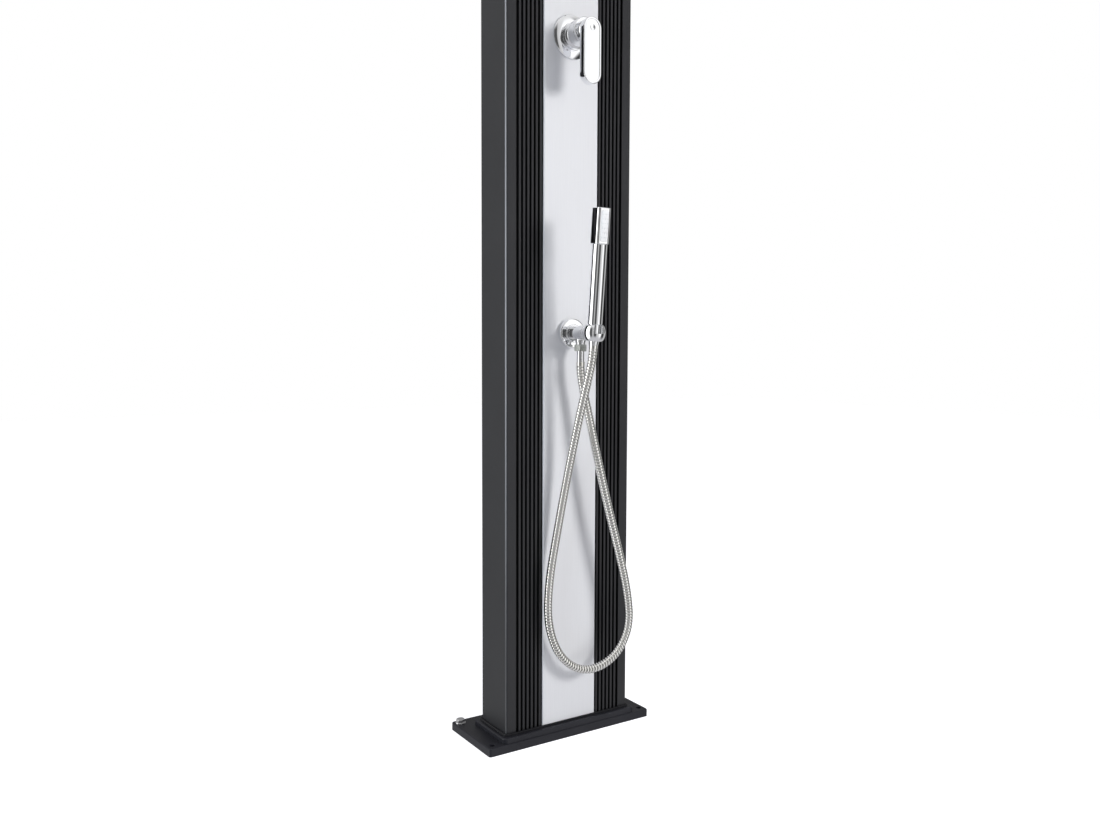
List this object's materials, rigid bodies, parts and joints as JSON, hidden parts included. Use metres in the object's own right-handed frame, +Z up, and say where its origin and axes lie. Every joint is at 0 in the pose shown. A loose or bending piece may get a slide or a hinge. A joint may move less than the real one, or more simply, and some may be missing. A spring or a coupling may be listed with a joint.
{
  "type": "outdoor shower post",
  "caption": "Free-standing outdoor shower column on a floor plate, with ribbed dark sides, a pale centre panel, a lever mixer, a hand shower on a hose and a rain head.",
  "frame": {"origin": "on the floor, at the middle of the column's footprint, in the base plate's underside", "axes": "+Z up the column, -Y out of the front, where the mixer and the hand shower are, +X to the right for someone who looks at the front along +Y"},
  "size_m": [0.316, 0.3688, 2.116],
  "materials": {
    "powder_coat": "fine satin powder coat",
    "base_coat": "satin powder coat, dark blue-grey",
    "panel_satin": "satin silver anodised, vertical brush",
    "chrome": "polished chrome plate",
    "nickel": "satin nickel plate",
    "hose_metal": "polished interlocked metal strip",
    "stainless": "bright stainless steel",
    "zinc_steel": "zinc-plated steel",
    "brass": "machined brass",
    "copper_pipe": "drawn copper pipe",
    "tank_plastic": "blow-moulded black polyethylene",
    "cap_plastic": "fine-grained moulded plastic",
    "seal_rubber": "soft black seal",
    "white_plastic": "pale silver-white gloss plastic",
    "nozzle_rubber": "pale grey silicone",
    "dark_nozzle": "dark grey silicone",
    "nylon": "natural nylon"
  },
  "bodies": {
    "post": {"base_plate": "base_coat", "base_collar": "base_coat", "post_seal": "seal_rubber", "foot_brackets": "zinc_steel", "foot_bracket_bolts": "zinc_steel", "anchor_washer": "stainless", "anchor_bolt": "stainless", "left_side_profile": "powder_coat", "right_side_profile": "powder_coat", "left_ribbed_panel": "powder_coat", "right_ribbed_panel": "powder_coat", "front_panel": "panel_satin", "mounting_channel": "zinc_steel", "back_panel": "powder_coat", "back_panel_screws": "stainless", "top_cap": "cap_plastic", "inner_tank": "tank_plastic", "tank_shelf": "tank_plastic", "tank_frames": "tank_plastic", "inlet_fitting": "brass", "inlet_tee": "brass", "backnuts": "brass", "cold_riser": "copper_pipe", "tank_feed_pipe": "copper_pipe", "hot_pipe": "copper_pipe", "mixed_pipe": "copper_pipe", "head_riser": "copper_pipe", "hand_feed_pipe": "copper_pipe", "mixer_escutcheon": "chrome", "mixer_body": "chrome", "mixer_cartridge": "white_plastic", "cartridge_ring": "brass", "diverter_escutcheon": "chrome", "diverter_body": "chrome", "outlet_escutcheon": "chrome", "outlet_body": "chrome", "handset_cradle": "chrome", "hose_nut": "nickel", "hose_ferrule": "chrome", "shower_hose": "hose_metal", "arm_escutcheon": "chrome", "arm_elbow": "brass", "shower_arm": "chrome", "ball_stud": "chrome"},
    "mixer_swivel_body": {"mixer_collar": "chrome"},
    "mixer_lever_body": {"mixer_lever": "chrome", "lever_cap": "chrome"},
    "diverter": {"diverter_stem": "stainless", "diverter_knob": "chrome"},
    "handset": {"cone_nut": "chrome", "handset_tube": "chrome", "handset_head": "chrome", "spray_plate": "white_plastic", "spray_nozzles": "nozzle_rubber"},
    "head_seat": {"ball_seat": "nylon"},
    "rain_head": {"rain_head_shell": "chrome", "rain_nozzle_plate": "chrome", "rain_nozzles": "dark_nozzle"}
  },
  "joints": [
    {"name": "mixer_swivel", "type": "hinge", "parent": "post", "child": "mixer_swivel_body", "pos_m": [0, -0.0765, 1.135], "axis": [0, 1, 0], "range_deg": [-45, 45]},
    {"name": "lever_lift", "type": "hinge", "parent": "mixer_swivel_body", "child": "mixer_lever_body", "pos_m": [0, -0.0765, 1.135], "axis": [-1, 0, 0], "range_deg": [0, 20]},
    {"name": "diverter_turn", "type": "hinge", "parent": "post", "child": "diverter", "pos_m": [0, -0.0765, 1.27], "axis": [0, 1, 0], "range_deg": [0, 90]},
    {"name": "handset_lift", "type": "slide", "parent": "post", "child": "handset", "axis": [0, -0.0976, 0.9952], "range_m": [0, 0.05]},
    {"name": "head_turn", "type": "hinge", "parent": "post", "child": "head_seat", "pos_m": [0, -0.1905, 1.96], "axis": [0, 0, 1], "continuous": true},
    {"name": "head_tilt", "type": "hinge", "parent": "head_seat", "child": "rain_head", "pos_m": [0, -0.1905, 1.96], "axis": [1, 0, 0], "range_deg": [-12, 12]}
  ]
}
